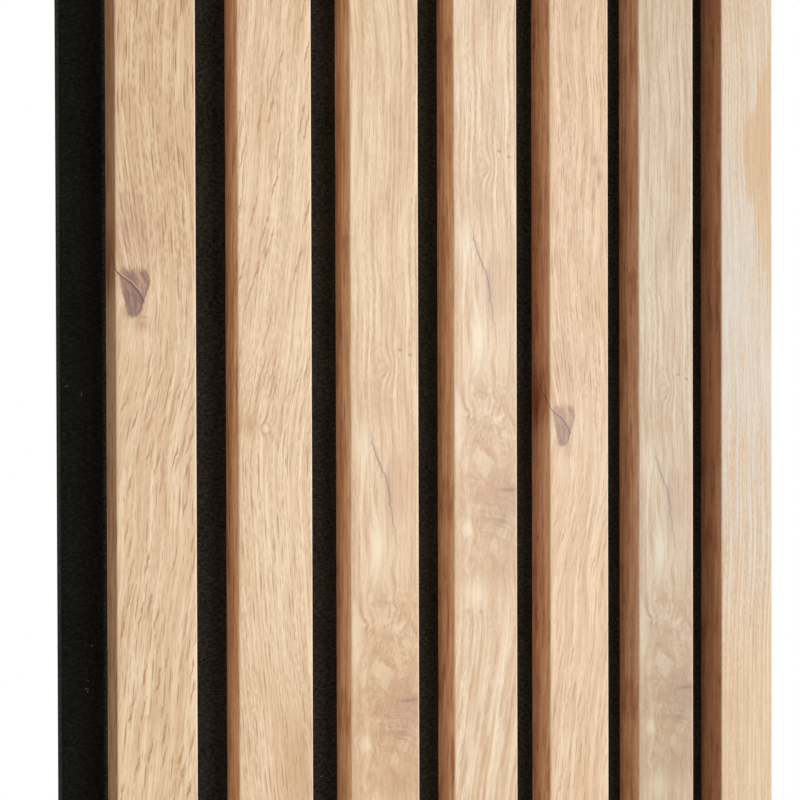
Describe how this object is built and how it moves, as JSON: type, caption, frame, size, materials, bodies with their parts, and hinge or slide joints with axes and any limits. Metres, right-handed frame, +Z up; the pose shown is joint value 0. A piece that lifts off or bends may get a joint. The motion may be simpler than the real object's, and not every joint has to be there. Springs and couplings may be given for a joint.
{
  "type": "acoustic slat wall panel",
  "caption": "Straight wall panel of evenly spaced upright slats with softly rounded front edges, wrapped in light oak print foil and stapled to a black felt board that absorbs sound.",
  "frame": {"origin": "middle of the felt's back face, which lies on the wall", "axes": "+Z up along the slats, +Y into the wall, +X to the right seen from the room; the slats face -Y"},
  "size_m": [0.28, 0.0214, 1.2],
  "materials": {
    "black_felt": "matt needled felt",
    "fibreboard": "sawn fibreboard",
    "oak_foil": "satin printed oak foil",
    "staple_wire": "galvanised wire"
  },
  "bodies": {
    "root": {"felt_backing": "black_felt", "slat_core_1": "fibreboard", "slat_core_2": "fibreboard", "slat_core_3": "fibreboard", "slat_core_4": "fibreboard", "slat_core_5": "fibreboard", "slat_core_6": "fibreboard", "slat_core_7": "fibreboard", "slat_foil_1": "oak_foil", "slat_foil_2": "oak_foil", "slat_foil_3": "oak_foil", "slat_foil_4": "oak_foil", "slat_foil_5": "oak_foil", "slat_foil_6": "oak_foil", "slat_foil_7": "oak_foil", "staples_1": "staple_wire", "staples_2": "staple_wire", "staples_3": "staple_wire", "staples_4": "staple_wire", "staples_5": "staple_wire", "staples_6": "staple_wire", "staples_7": "staple_wire"}
  },
  "joints": []
}
